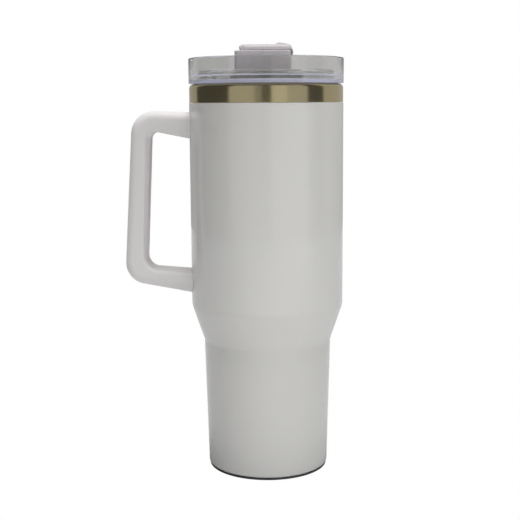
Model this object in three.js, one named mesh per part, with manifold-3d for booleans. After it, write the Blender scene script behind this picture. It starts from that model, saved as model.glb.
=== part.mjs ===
// A 40 oz vacuum-insulated tumbler: a two-wall steel body with a narrowed foot, a two-piece
// moulded handle, and a clear press-in lid that carries a rotating cover, a straw port and its
// flip cap. Millimetres, +Z up. The origin is the centre of the base pad's underside, the handle
// points along -X and the lid's drinking slot along -Y.
import * as THREE from "three";
import { mergeVertices } from "three/addons/utils/BufferGeometryUtils.js";
import Module from "manifold-3d";

const wasm = await Module();
wasm.setup();

// ---- Driving dimensions ----------------------------------------------------------------------
const FACETS = 40; // round every large turned piece
const FINE_FACETS = 24; // round small pieces and bores
const CHORD_ERROR = 0.12; // how far a fillet's straight steps may stray from its arc
const GAP = 0.3; // left between pieces that touch on the real object

const SHELL_R = 50.2; // upper body, outside
const FOOT_R = 39.9; // body at its lower end, outside
const WAIST = { lowR: 42.2, lowZ: 86.5, highZ: 110 }; // where the body narrows to fit a cup holder
const SHELL_WALL = 0.6;
const SHELL_BOTTOM_Z = 1.5;
const SHELL_TOP_Z = 242.3;

const LINER_WALL = 0.5;
const VACUUM = 2.6; // gap between the two walls
const LINER_FLOOR_Z = 9.5; // inside bottom of the cup
const MOUTH_R = 47.0; // inside radius where the lid seats
const MOUTH_SEAT_Z = 237;
const LINER_TOP_Z = 251.6;

const RIM_R = 50.0;
const RIM_TOP_Z = 254.4;
const RIM_WALL = 0.8;

const LID_R = 50.3;
const LID_BOTTOM_Z = RIM_TOP_Z + GAP;
const LID_TOP_Z = 271;
const LID_WALL = 2.6;
const LID_LEDGE_Z = 259.4;
const LID_FLOOR = { bottom: 254.6, top: 256.4 };
const SKIRT = { inner: 43.2, outer: 45.9, bottom: 240.5 };
const GROOVE = { r: 44.5, bottom: 243.5, top: 249.5 };

const WELL_R = 44.4; // recess in the lid that the cover turns in
const COVER_R = 43.9;
const COVER_PLATE = { bottom: 257.6, top: 259.3 };
const COVER_RIM = { inner: 41.3, bottom: 256.8, top: 262.5 };
const SIP = { inner: 30, outer: 37, half: THREE.MathUtils.degToRad(28) };
const SIP_ANGLE = -Math.PI / 2; // slot in the lid, towards -Y
const WINDOW_ANGLE = Math.PI; // window in the cover, a quarter turn before the slot
const SEAL = { bottom: 256.6, flangeTop: 257.4, top: 259.3 };
const SEAL_PLUG = { inner: 30, outer: 37, half: THREE.MathUtils.degToRad(30) };
const SEAL_FLANGE = 1.8; // how far the flange below the cover reaches past the plug

const STRAW_R = 5.0; // bore of the pivot sleeve
const SLEEVE = { r: 8.9, bottom: 250.9, flangeR: 10, flangeBottom: 259.6, flangeTop: 261.2 };
const CLIP = { groove: 7.9, outer: 12.6, bottom: 252.9, top: 254.1 };

const BLOCK = { left: -20.2, right: 16.2, halfWidth: 11.5, bottom: 259.5, top: 275.6 };
const HINGE = { x: -14.8, z: 277.2, pinR: 1.0 };
const LUG = { r: 2.1, half: 6.4 }; // the block's middle lug
const CAP = { halfWidth: 9.8, bottom: BLOCK.top + GAP, top: 279.6 };
const EAR = { r: CAP.top - HINGE.z, inner: 6.8 }; // the cap's two ears, either side of the lug
const PIN = { front: -9, back: 9.5 };

const HANDLE_WIDTH = 24; // along Y
const HANDLE_ROUND = 5; // radius along the handle's four long edges
const HANDLE_INSIDE_X = -40; // the arms start inside the body, before they are cut to it
const CHANNEL = { depth: 9.5, halfWidth: 7 };
const COVER_STRIP = { depth: 2.5, halfWidth: 6.7 };

const PAD = { r: 39.4, top: 1.3 };

// ---- Helpers -----------------------------------------------------------------------------------
const point = (x, y) => new THREE.Vector2(x, y);

// A closed outline through [x, y, fillet radius] corners, with each fillet as an arc.
function roundedLoop(corners) {
  const outline = [];
  corners.forEach(([x, y, fillet = 0], i) => {
    const here = point(x, y);
    if (!fillet) {
      outline.push(here);
      return;
    }
    const before = corners[(i + corners.length - 1) % corners.length];
    const after = corners[(i + 1) % corners.length];
    const back = point(before[0], before[1]).sub(here).normalize();
    const ahead = point(after[0], after[1]).sub(here).normalize();
    const half = Math.acos(THREE.MathUtils.clamp(back.dot(ahead), -1, 1)) / 2;
    const start = back.clone().multiplyScalar(fillet / Math.tan(half)).add(here);
    const middle = back.clone().add(ahead).normalize().multiplyScalar(fillet / Math.sin(half)).add(here);
    const from = start.clone().sub(middle);
    const turn = Math.PI - 2 * half;
    const sign = Math.sign(back.cross(ahead)) > 0 ? -1 : 1;
    const steps = Math.max(1, Math.ceil(turn / (2 * Math.acos(1 - Math.min(CHORD_ERROR / fillet, 0.3)))));
    for (let k = 0; k <= steps; k++) {
      outline.push(from.clone().rotateAround(point(0, 0), (sign * turn * k) / steps).add(middle));
    }
  });
  return outline;
}

// Turns a closed (radius, height) outline, given counter-clockwise, about the Z axis.
function turned(corners, facets = FACETS) {
  const outline = roundedLoop(corners);
  return new THREE.LatheGeometry([...outline, outline[0]], facets).rotateX(Math.PI / 2);
}

// A solid disc or tapered cylinder on the Z axis.
function rod(radius, bottom, top, facets = FINE_FACETS, topRadius = radius) {
  return new THREE.CylinderGeometry(topRadius, radius, top - bottom, facets)
    .rotateX(Math.PI / 2)
    .translate(0, 0, (bottom + top) / 2);
}

// A solid cylinder along Y, centred on y = 0.
function crossRod(radius, halfLength, x, z, facets = FINE_FACETS) {
  return new THREE.CylinderGeometry(radius, radius, 2 * halfLength, facets).translate(x, 0, z);
}

function box(left, right, front, back, bottom, top) {
  return new THREE.BoxGeometry(right - left, back - front, top - bottom)
    .translate((left + right) / 2, (front + back) / 2, (bottom + top) / 2);
}

// An (x, z) outline, given counter-clockwise, made into a slab from -halfWidth to +halfWidth in y.
function slabXZ(outline, halfWidth, round = 0) {
  return new THREE.ExtrudeGeometry(new THREE.Shape(outline), {
    depth: 2 * (halfWidth - round),
    bevelEnabled: round > 0,
    bevelThickness: round,
    bevelSize: round,
    bevelOffset: -round,
    bevelSegments: 3,
  })
    .translate(0, 0, -(halfWidth - round))
    .rotateX(Math.PI / 2);
}

// An (x, y) outline made into a plate between two heights.
function plateXY(outline, bottom, top) {
  return new THREE.ExtrudeGeometry(new THREE.Shape(outline), { depth: top - bottom, bevelEnabled: false })
    .translate(0, 0, bottom);
}

// The outline of a curved slot about the Z axis, with round ends.
function slotOutline(inner, outer, angle, half, steps = 8) {
  const middle = (inner + outer) / 2;
  const endR = (outer - inner) / 2;
  const path = new THREE.Path();
  const end = (a) => [middle * Math.cos(a), middle * Math.sin(a)];
  path.absarc(0, 0, outer, angle - half, angle + half, false);
  path.absarc(...end(angle + half), endR, angle + half, angle + half + Math.PI, false);
  path.absarc(0, 0, inner, angle + half, angle - half, true);
  path.absarc(...end(angle - half), endR, angle - half + Math.PI, angle - half + 2 * Math.PI, false);
  return path.getPoints(steps / 2).filter((p, i, all) => i === 0 || p.distanceTo(all[i - 1]) > 1e-4).slice(0, -1);
}

// An open line of points moved sideways, to its left, by a distance.
function offsetLine(line, distance) {
  const sides = line.slice(1).map((p, i) => {
    const along = p.clone().sub(line[i]).normalize();
    return { along, normal: point(-along.y, along.x) };
  });
  return line.map((p, i) => {
    const before = sides[Math.max(i - 1, 0)].normal;
    const after = sides[Math.min(i, sides.length - 1)].normal;
    const mitre = before.clone().add(after).normalize();
    return mitre.clone().multiplyScalar(distance / mitre.dot(after)).add(p);
  });
}

function solid(geometry) {
  const bare = geometry.index ? geometry.toNonIndexed() : geometry.clone();
  bare.deleteAttribute("normal");
  bare.deleteAttribute("uv");
  const merged = mergeVertices(bare, 1e-4);
  return new wasm.Manifold(
    new wasm.Mesh({
      numProp: 3,
      vertProperties: merged.attributes.position.array,
      triVerts: new Uint32Array(merged.index.array),
    }),
  );
}

function cut(base, ...tools) {
  return tools.reduce((left, tool) => left.subtract(solid(tool)), base.subtract ? base : solid(base));
}

function joined(...parts) {
  return parts.map((part) => (part.subtract ? part : solid(part))).reduce((a, b) => a.add(b));
}

function geometryOf(manifold) {
  const mesh = manifold.getMesh();
  const geometry = new THREE.BufferGeometry();
  geometry.setAttribute("position", new THREE.BufferAttribute(new Float32Array(mesh.vertProperties), 3));
  geometry.setIndex(new THREE.BufferAttribute(new Uint32Array(mesh.triVerts), 1));
  geometry.computeVertexNormals();
  return geometry;
}

const finish = (color, roughness, metalness, more = {}) =>
  new THREE.MeshStandardMaterial({ color, roughness, metalness, ...more });

const MATERIALS = {
  coating: finish(0xdcdbd7, 0.28, 0.0),
  steel: finish(0xb9b9b6, 0.3, 1.0),
  rim: finish(0xb9a878, 0.16, 1.0),
  foil: finish(0xd0d0d0, 0.4, 1.0),
  handle: finish(0xe0dcdb, 0.42, 0.0),
  clear: finish(0xd4d5dc, 0.06, 0.0, { transparent: true, opacity: 0.35 }),
  frosted: finish(0xd8d8da, 0.6, 0.0),
  darkSilicone: finish(0x3c3d40, 0.65, 0.0),
  knob: finish(0xd2cdd0, 0.4, 0.0),
  rubber: finish(0x3a3a3b, 0.75, 0.0),
};

const tumbler = new THREE.Group();

function add(group, name, shape, material) {
  const mesh = new THREE.Mesh(shape.getMesh ? geometryOf(shape) : shape, material);
  mesh.name = name;
  group.add(mesh);
  return mesh;
}

// ---- Body --------------------------------------------------------------------------------------
function outerShell() {
  const inside = SHELL_R - SHELL_WALL;
  const lip = FOOT_R - 2.4;
  return turned([
    [lip, SHELL_BOTTOM_Z],
    [FOOT_R, SHELL_BOTTOM_Z, 1.3],
    [WAIST.lowR, WAIST.lowZ, 8],
    [SHELL_R, WAIST.highZ, 14],
    [SHELL_R, SHELL_TOP_Z],
    [inside, SHELL_TOP_Z],
    [inside, WAIST.highZ, 14],
    [WAIST.lowR - SHELL_WALL, WAIST.lowZ, 8],
    [FOOT_R - SHELL_WALL, SHELL_BOTTOM_Z + SHELL_WALL, 0.7],
    [lip, SHELL_BOTTOM_Z + SHELL_WALL],
  ]);
}

function neckBand() {
  const inside = RIM_R - RIM_WALL;
  const roof = RIM_TOP_Z - RIM_WALL;
  return turned([
    [inside, SHELL_TOP_Z + GAP],
    [RIM_R, SHELL_TOP_Z + GAP],
    [RIM_R, RIM_TOP_Z, 2.6],
    [MOUTH_R, RIM_TOP_Z, 0.4],
    [MOUTH_R, LINER_TOP_Z + GAP],
    [MOUTH_R + LINER_WALL, LINER_TOP_Z + GAP],
    [MOUTH_R + LINER_WALL, roof],
    [inside, roof, 1.6],
  ]);
}

function innerLiner() {
  const inset = SHELL_WALL + VACUUM + LINER_WALL;
  const upper = SHELL_R - inset;
  const lower = WAIST.lowR - inset;
  const foot = FOOT_R - inset;
  const under = LINER_FLOOR_Z - LINER_WALL;
  return turned([
    [0, under],
    [foot + LINER_WALL, under, 6.5],
    [lower + LINER_WALL, WAIST.lowZ, 8],
    [upper + LINER_WALL, WAIST.highZ, 12],
    [upper + LINER_WALL, MOUTH_SEAT_Z - 2],
    [MOUTH_R + LINER_WALL, MOUTH_SEAT_Z],
    [MOUTH_R + LINER_WALL, LINER_TOP_Z],
    [MOUTH_R, LINER_TOP_Z],
    [MOUTH_R, MOUTH_SEAT_Z],
    [upper, MOUTH_SEAT_Z - 2],
    [upper, WAIST.highZ, 12],
    [lower, WAIST.lowZ, 8],
    [foot, LINER_FLOOR_Z, 6],
    [0, LINER_FLOOR_Z],
  ]);
}

// A reflective foil sleeve wound round the liner, inside the vacuum.
function heatFoil() {
  const inside = SHELL_R - SHELL_WALL - VACUUM + 0.8;
  const foil = 0.3;
  return turned([[inside, 116], [inside + foil, 116], [inside + foil, 232], [inside, 232]]);
}

// The plate that closes the vacuum from below, with its evacuation hole.
function shellBottom() {
  const r = 38.7;
  return turned([
    [1, 4.8], [r - 0.7, 4.8], [r - 0.7, 2.6], [r, 2.6], [r, 5.6, 0.4], [1, 5.6],
  ]);
}

function sealBead() {
  return joined(rod(2.6, 3.6, 4.6), rod(0.7, 4.5, 5.4));
}

function getter() {
  return rod(5, 5.9, 8.1).translate(15, 0, 0);
}

function baseCap() {
  const r = 37.1;
  return turned([[0, 1.7], [r, 1.7, 0.4], [r, 4.2], [r - 0.6, 4.2], [r - 0.6, 2.3], [0, 2.3]]);
}

// The rubber foot, with one shallow ring groove in its flat underside.
function basePad() {
  return turned([
    [0, 0], [28, 0], [28, 0.6], [30, 0.6], [30, 0], [PAD.r, 0, 0.4], [PAD.r, PAD.top, 0.3], [0, PAD.top],
  ]);
}

const body = new THREE.Group();
tumbler.add(body);
add(body, "outer_shell", outerShell(), MATERIALS.coating);
add(body, "neck_band", neckBand(), MATERIALS.rim);
add(body, "inner_liner", innerLiner(), MATERIALS.steel);
add(body, "heat_foil", heatFoil(), MATERIALS.foil);
add(body, "shell_bottom", shellBottom(), MATERIALS.steel);
add(body, "vacuum_seal_bead", sealBead(), MATERIALS.steel);
add(body, "vacuum_getter", getter(), MATERIALS.steel);
add(body, "base_cap", baseCap(), MATERIALS.steel);
add(body, "base_pad", basePad(), MATERIALS.rubber);

// ---- Handle ------------------------------------------------------------------------------------
// Corners of the handle seen from the front: the outline a hand sees, and the finger gap's.
const OUTER_LINE = [[HANDLE_INSIDE_X, 236.2], [-86.8, 238.1, 15], [-93.8, 127.1, 14], [HANDLE_INSIDE_X, 116.9]];
const FINGER_LINE = [[HANDLE_INSIDE_X, 217.8], [-75.1, 225, 5], [-79.6, 135, 8], [HANDLE_INSIDE_X, 131.8]];

// A band that follows the finger gap's outline, between two depths into the handle.
function fingerBand(from, to, halfWidth) {
  const line = FINGER_LINE.map(([x, z]) => point(x, z));
  const side = (depth) => offsetLine(line, -depth).map((p, i) => [p.x, p.y, (FINGER_LINE[i][2] ?? 0) + depth]);
  const ends = (corners) => corners.map(([x, z, fillet], i) => [x, z, i % 3 ? Math.max(fillet, 0.5) : 0]);
  return slabXZ(roundedLoop([...ends(side(to)), ...ends(side(from)).reverse()]), halfWidth);
}

const bodyCutter = () => rod(SHELL_R + GAP, 100, 250, FACETS);

// Screws stand upright in the arms, through a bracket each, into the handle's plastic.
const SCREWS = {
  upper: { head: 224.7, direction: 1 },
  lower: { head: 130, direction: -1 },
};
const SCREW_X = -56;
const SCREW = { headR: 3.4, headHeight: 1.7, shankR: 1.9, length: 8.6 };
const BRACKET = { offset: 1.9, thick: 1.8, reach: -64, foot: 1.6, footHeight: 3.5, halfWidth: 5.5 };

// Heights measured from the screw head's outer face, into the arm.
const into = ({ head, direction }, distance) => head + direction * distance;

function screwHole(where, radius, from, to) {
  const ends = [into(where, from), into(where, to)].sort((a, b) => a - b);
  return rod(radius, ...ends, 12).translate(SCREW_X, 0, 0);
}

function handleShell() {
  const outline = roundedLoop([...OUTER_LINE, ...[...FINGER_LINE].reverse()].reverse());
  const pilots = Object.values(SCREWS).map((s) => screwHole(s, SCREW.shankR + 0.15, 5, SCREW.length + 0.4));
  return cut(
    slabXZ(outline, HANDLE_WIDTH / 2, HANDLE_ROUND),
    fingerBand(-2, CHANNEL.depth, CHANNEL.halfWidth),
    bodyCutter(),
    ...pilots,
  );
}

function handleCover() {
  return cut(fingerBand(0, COVER_STRIP.depth, COVER_STRIP.halfWidth), bodyCutter());
}

function bracket(where) {
  const front = -(SHELL_R + 0.5);
  const near = into(where, BRACKET.offset);
  const far = into(where, BRACKET.offset + BRACKET.thick);
  const footEnd = into(where, BRACKET.offset + BRACKET.thick - BRACKET.footHeight);
  const arm = [Math.min(near, far), Math.max(near, far)];
  const foot = [Math.min(footEnd, far), Math.max(footEnd, far)];
  const wide = [-BRACKET.halfWidth, BRACKET.halfWidth];
  return cut(
    joined(box(BRACKET.reach, front, ...wide, ...arm), box(front - BRACKET.foot, front, ...wide, ...foot)),
    screwHole(where, SCREW.shankR + 0.4, 0, 8),
  );
}

function screw(where) {
  return cut(
    joined(
      screwHole(where, SCREW.headR, 0, SCREW.headHeight),
      screwHole(where, SCREW.shankR, SCREW.headHeight - 0.2, SCREW.length),
    ),
    box(SCREW_X - 2, SCREW_X + 2, -0.5, 0.5, ...[into(where, -1), into(where, 1)].sort((a, b) => a - b)),
    box(SCREW_X - 0.5, SCREW_X + 0.5, -2, 2, ...[into(where, -1), into(where, 1)].sort((a, b) => a - b)),
  );
}

const handle = new THREE.Group();
tumbler.add(handle);
add(handle, "handle_shell", handleShell(), MATERIALS.handle);
add(handle, "handle_cover_strip", handleCover(), MATERIALS.handle);
for (const [name, where] of Object.entries(SCREWS)) {
  add(handle, `${name}_handle_bracket`, bracket(where), MATERIALS.steel);
  add(handle, `${name}_handle_screw`, screw(where), MATERIALS.steel);
}

// ---- Lid ---------------------------------------------------------------------------------------
function lidBody() {
  const wallInside = LID_R - LID_WALL;
  const bore = SLEEVE.r + 0.4;
  const profile = turned([
    [bore, LID_FLOOR.bottom],
    [SKIRT.inner, LID_FLOOR.bottom, 0.6],
    [SKIRT.inner, SKIRT.bottom, 0.7],
    [SKIRT.outer, SKIRT.bottom, 0.7],
    [SKIRT.outer, GROOVE.bottom],
    [GROOVE.r, GROOVE.bottom],
    [GROOVE.r, GROOVE.top],
    [SKIRT.outer, GROOVE.top],
    [SKIRT.outer, LID_BOTTOM_Z],
    [LID_R, LID_BOTTOM_Z, 0.5],
    [LID_R, LID_TOP_Z, 1.1],
    [wallInside, LID_TOP_Z, 1.1],
    [wallInside, LID_LEDGE_Z, 0.8],
    [WELL_R, LID_LEDGE_Z, 0.4],
    [WELL_R, LID_FLOOR.top],
    [bore, LID_FLOOR.top],
  ]);
  const slot = slotOutline(SIP.inner, SIP.outer, SIP_ANGLE, SIP.half);
  return cut(profile, plateXY(slot, LID_FLOOR.bottom - 2, LID_FLOOR.top + 2));
}

// A silicone ring with two sealing lips that fills the skirt's groove.
function lidGasket() {
  const back = GROOVE.r + 0.2;
  const waist = SKIRT.outer - 0.1;
  const lip = MOUTH_R - GAP;
  const [low, high] = [GROOVE.bottom + 0.2, GROOVE.top - 0.2];
  const lipHeight = 1.4;
  return turned([
    [back, low],
    [lip, low + 0.2],
    [lip, low + lipHeight],
    [waist, low + lipHeight + 0.4],
    [waist, high - lipHeight - 0.4],
    [lip, high - lipHeight],
    [lip, high - 0.2],
    [back, high],
  ]);
}

const lid = new THREE.Group();
tumbler.add(lid);
add(lid, "lid_body", lidBody(), MATERIALS.clear);
add(lid, "lid_gasket", lidGasket(), MATERIALS.frosted);

// ---- Rotating cover ------------------------------------------------------------------------------
function rotatingCover() {
  const bore = SLEEVE.r + 0.3;
  const dish = turned([
    [bore, COVER_PLATE.bottom],
    [COVER_RIM.inner, COVER_PLATE.bottom],
    [COVER_RIM.inner, COVER_RIM.bottom],
    [COVER_R, COVER_RIM.bottom, 0.9],
    [COVER_R, COVER_RIM.top, 1.25],
    [COVER_RIM.inner, COVER_RIM.top, 1.25],
    [COVER_RIM.inner, COVER_PLATE.top, 0.8],
    [bore, COVER_PLATE.top],
  ]);
  const window = slotOutline(SIP.inner, SIP.outer, WINDOW_ANGLE, SIP.half);
  return cut(
    dish,
    plateXY(window, COVER_PLATE.bottom - 2, COVER_PLATE.top + 2),
    plateXY(sealOutline(GAP), COVER_PLATE.bottom - 2, COVER_PLATE.top + 2),
  );
}

// The seal's plug in plan, widened all round by a margin.
function sealOutline(margin) {
  return slotOutline(SEAL_PLUG.inner - margin, SEAL_PLUG.outer + margin, SIP_ANGLE, SEAL_PLUG.half);
}

// The stopper for the drinking slot: a flange below the cover and a plug set in the cover's plate.
function sipSeal() {
  return joined(
    plateXY(sealOutline(SEAL_FLANGE), SEAL.bottom, SEAL.flangeTop),
    plateXY(sealOutline(0), SEAL.bottom, SEAL.top),
  );
}

// The hollow pivot: it clamps the cover to the lid's floor and lets a straw through.
function pivotSleeve() {
  return turned([
    [STRAW_R, SLEEVE.bottom],
    [SLEEVE.r, SLEEVE.bottom, 0.6],
    [SLEEVE.r, CLIP.bottom - 0.3],
    [CLIP.groove, CLIP.bottom - 0.3],
    [CLIP.groove, CLIP.top + 0.2],
    [SLEEVE.r, CLIP.top + 0.2],
    [SLEEVE.r, SLEEVE.flangeBottom],
    [SLEEVE.flangeR, SLEEVE.flangeBottom],
    [SLEEVE.flangeR, SLEEVE.flangeTop],
    [STRAW_R, SLEEVE.flangeTop],
  ], FINE_FACETS);
}

function pivotSeal() {
  const [low, high] = [LID_FLOOR.top + 0.2, COVER_PLATE.bottom - 0.2];
  return turned([[SLEEVE.r + 0.3, low], [11.8, low], [11.8, high], [SLEEVE.r + 0.3, high]], FINE_FACETS);
}

// A split spring clip in the sleeve's groove, under the lid's floor.
function pivotClip() {
  const inner = CLIP.groove + 0.3;
  const middle = (inner + CLIP.outer) / 2;
  const halfGap = THREE.MathUtils.degToRad(14);
  const ring = new THREE.Path();
  ring.absarc(0, 0, CLIP.outer, halfGap, 2 * Math.PI - halfGap, false);
  ring.absarc(0, 0, inner, 2 * Math.PI - halfGap, halfGap, true);
  const outline = ring.getPoints(FINE_FACETS / 2).slice(0, -1);
  const split = plateXY(outline, CLIP.bottom, CLIP.top);
  const eyelet = rod(0.8, CLIP.bottom - 1, CLIP.top + 1, 8);
  const eyelets = [1, -1].map((side) => eyelet.clone()
    .translate(middle, 0, 0)
    .rotateZ(side * 2 * halfGap));
  return cut(split, ...eyelets);
}

// The block that is both the cover's grip and the straw port, hollow from below.
function portBlock() {
  const { left, right, halfWidth, bottom, top } = BLOCK;
  const corner = 3;
  const outline = roundedLoop([
    [left, -halfWidth, corner], [right, -halfWidth, corner], [right, halfWidth, corner], [left, halfWidth, corner],
  ]);
  const { r, half } = LUG;
  const lug = joined(
    crossRod(r, half, HINGE.x, HINGE.z),
    box(HINGE.x - r, HINGE.x + r, -half, half, top - 1, HINGE.z),
  );
  const [trackInner, trackOuter] = [LUG.half + 0.1, CAP.halfWidth + GAP];
  const track = crossRod(EAR.r + GAP, (trackOuter - trackInner) / 2, HINGE.x, HINGE.z);
  const tracks = [1, -1].map((side) => track.clone().translate(0, (side * (trackInner + trackOuter)) / 2, 0));
  const wall = 2;
  const portWall = STRAW_R + 0.2 + wall;
  return cut(
    joined(plateXY(outline, bottom, top), lug),
    rod(STRAW_R + 0.2, bottom - 1, top + 1),
    rod(SLEEVE.flangeR + 0.3, bottom - 1, SLEEVE.flangeTop + 0.2),
    box(left + wall, -portWall, -halfWidth + wall, halfWidth - wall, bottom - 1, top - wall - 1),
    box(portWall, right - wall, -halfWidth + wall, halfWidth - wall, bottom - 1, top - wall - 1),
    ...tracks,
    crossRod(HINGE.pinR + 0.2, half + 1, HINGE.x, HINGE.z, 16),
  );
}

// The pin is pushed in from the back and stops inside the front ear.
function pinRod(radius, front, back) {
  return crossRod(radius, (back - front) / 2, HINGE.x, HINGE.z, 16).translate(0, (front + back) / 2, 0);
}

// The flip cap seen from the front: a plate with a thumb ridge and a lip over the block's end.
function flipCap() {
  const lipBottom = CAP.bottom - 2.7;
  const lipInside = BLOCK.right + 0.4;
  const root = HINGE.x + LUG.r + GAP;
  const plate = slabXZ(roundedLoop([
    [root, CAP.bottom],
    [lipInside, CAP.bottom],
    [lipInside, lipBottom],
    [lipInside + 1.1, lipBottom, 0.4],
    [lipInside - 1, CAP.top, 0.9],
    [8.6, CAP.top + 1.4, 1.5],
    [5.6, CAP.top, 2],
    [root, CAP.top],
  ]), CAP.halfWidth);
  const half = (CAP.halfWidth - EAR.inner) / 2;
  const ear = joined(
    crossRod(EAR.r, half, HINGE.x, HINGE.z),
    box(HINGE.x, root + 0.5, -half, half, CAP.bottom, CAP.top),
  );
  const ears = [1, -1].map((side) => ear.clone().translate(0, side * (EAR.inner + half), 0));
  return cut(joined(plate, ...ears), pinRod(HINGE.pinR + 0.2, PIN.front - 0.3, PIN.back + 1));
}

// The stopper under the cap narrows downwards, so that it swings out of the port freely.
function capPlug() {
  return rod(4.2, CAP.bottom - 3.3, CAP.bottom - 0.2, FINE_FACETS, 4.9);
}

const cover = new THREE.Group();
lid.add(cover);
add(cover, "rotating_cover", rotatingCover(), MATERIALS.clear);
add(cover, "sip_seal", sipSeal(), MATERIALS.darkSilicone);
add(cover, "pivot_sleeve", pivotSleeve(), MATERIALS.clear);
add(cover, "pivot_seal", pivotSeal(), MATERIALS.darkSilicone);
add(cover, "pivot_clip", pivotClip(), MATERIALS.steel);
add(cover, "straw_port_block", portBlock(), MATERIALS.knob);
add(cover, "hinge_pin", pinRod(HINGE.pinR, PIN.front, PIN.back), MATERIALS.steel);

const cap = new THREE.Group();
cover.add(cap);
add(cap, "flip_cap", flipCap(), MATERIALS.knob);
add(cap, "cap_plug", capPlug(), MATERIALS.frosted);

export default tumbler;
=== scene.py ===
"""The looks of an insulated tumbler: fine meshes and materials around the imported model, in metres.

Shapes are turned outlines, lofts and rounded prisms. Outlines are written in millimetres, as
(radius, height) or (x, z) corners, each with an optional fillet radius.
"""
import math

import bmesh
import bpy
from mathutils import Matrix, Vector


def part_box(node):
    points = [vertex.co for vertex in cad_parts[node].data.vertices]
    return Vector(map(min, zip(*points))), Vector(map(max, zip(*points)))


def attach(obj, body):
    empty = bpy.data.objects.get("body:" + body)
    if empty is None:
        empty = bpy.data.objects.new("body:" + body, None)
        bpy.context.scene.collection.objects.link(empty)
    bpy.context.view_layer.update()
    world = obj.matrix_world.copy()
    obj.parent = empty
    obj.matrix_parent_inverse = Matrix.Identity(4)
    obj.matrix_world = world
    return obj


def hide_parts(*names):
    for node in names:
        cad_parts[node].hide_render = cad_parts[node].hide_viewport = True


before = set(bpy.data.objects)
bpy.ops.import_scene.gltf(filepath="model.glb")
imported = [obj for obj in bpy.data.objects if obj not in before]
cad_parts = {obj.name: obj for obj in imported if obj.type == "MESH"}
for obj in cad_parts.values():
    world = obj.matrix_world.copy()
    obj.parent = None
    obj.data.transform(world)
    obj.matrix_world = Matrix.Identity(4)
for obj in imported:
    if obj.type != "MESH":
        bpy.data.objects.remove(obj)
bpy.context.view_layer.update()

MM = 0.001
ROUND = 256  # segments of a large turned piece
FINE = 96  # segments of a small turned piece
FILLET_STEPS = 8  # straight steps in each fillet
EDGE_STEPS = 6  # straight steps in the rounded edge of a hole
SHARP_ANGLE = math.radians(35)  # edges that turn more than this stay sharp in the shading


def high(node):
    """The highest corner of a CAD node, in millimetres."""
    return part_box(node)[1] / MM


def low(node):
    """The lowest corner of a CAD node, in millimetres."""
    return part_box(node)[0] / MM


# ---- Sizes, in millimetres --------------------------------------------------------------------
GAP = 0.3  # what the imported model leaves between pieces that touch
SEAM = 0.12  # the fine line left of that gap where two pieces are welded or pressed together

SHELL_R = high("outer_shell").x
SHELL_TOP = high("outer_shell").z
SHELL_BOTTOM = low("outer_shell").z
SHELL_WALL = 0.6
FOOT_R = 39.9
WAIST_R, WAIST_LOW, WAIST_HIGH = 42.2, 86.5, 110

RIM_R = high("neck_band").x
RIM_TOP = high("neck_band").z
MOUTH_R = 47.0
LINER_TOP = high("inner_liner").z
LINER_FLOOR = 9.5
LINER_INSET = 3.7  # from the shell's outside to the liner's inside
MOUTH_SEAT = 237  # where the liner narrows from the mouth

LID_R = high("lid_body").x
LID_TOP = high("lid_body").z
LID_BOTTOM = RIM_TOP + GAP
LEDGE = 259.4  # top of the thick ring between the lid's wall and its well
FLOOR_BOTTOM, FLOOR_TOP = 254.6, 256.4
SKIRT_IN, SKIRT_OUT, SKIRT_BOTTOM = 43.2, 45.9, low("lid_body").z
GROOVE_R, GROOVE_BOTTOM, GROOVE_TOP = 44.5, 243.5, 249.5
WELL_R = 44.4

COVER_R = high("rotating_cover").x
COVER_TOP = high("rotating_cover").z
COVER_BOTTOM = low("rotating_cover").z
PLATE_BOTTOM, PLATE_TOP = 257.6, 259.3
COVER_IN = 41.3
SLOT_IN, SLOT_OUT, SLOT_HALF = 30, 37, math.radians(28)
SLOT_ANGLE = math.radians(-90)  # towards the front
WINDOW_ANGLE = math.radians(180)  # towards the handle
SEAL_HALF = math.radians(30)

SLEEVE_R, SLEEVE_BORE = 8.9, 5.0
BLOCK_TOP = 275.6
HINGE_X, HINGE_Z = -14.8, 277.2
PIN_R, PIN_HOLE_R = 1.0, 1.2
LUG_R, LUG_HALF = 2.1, 6.4
CAP_BOTTOM, CAP_TOP = BLOCK_TOP + GAP, 279.6
EAR_R, EAR_IN, EAR_OUT = CAP_TOP - HINGE_Z, 6.8, 9.8

# ---- Outlines and meshes ------------------------------------------------------------------------


def rounded(corners, steps=FILLET_STEPS):
    """The closed outline through (x, y, fillet) corners, each fillet an arc of so many steps."""
    points = []
    for i, corner in enumerate(corners):
        here = Vector(corner[:2])
        fillet = corner[2] if len(corner) > 2 else 0
        if not fillet:
            points.append(here)
            continue
        back = (Vector(corners[i - 1][:2]) - here).normalized()
        ahead = (Vector(corners[(i + 1) % len(corners)][:2]) - here).normalized()
        half = back.angle(ahead) / 2
        middle = here + (back + ahead).normalized() * (fillet / math.sin(half))
        start = here + back * (fillet / math.tan(half)) - middle
        turn = math.pi - 2 * half
        sign = -1 if back.cross(ahead) > 0 else 1
        for k in range(steps + 1):
            angle = sign * turn * k / steps
            c, s = math.cos(angle), math.sin(angle)
            points.append(middle + Vector((start.x * c - start.y * s, start.x * s + start.y * c)))
    return points


def shaped(name, verts, faces):
    """A mesh object from points in millimetres."""
    mesh = bpy.data.meshes.new(name)
    mesh.from_pydata([Vector(v) * MM for v in verts], [], faces)
    obj = bpy.data.objects.new(name, mesh)
    bpy.context.scene.collection.objects.link(obj)
    settle(obj)
    return obj


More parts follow.
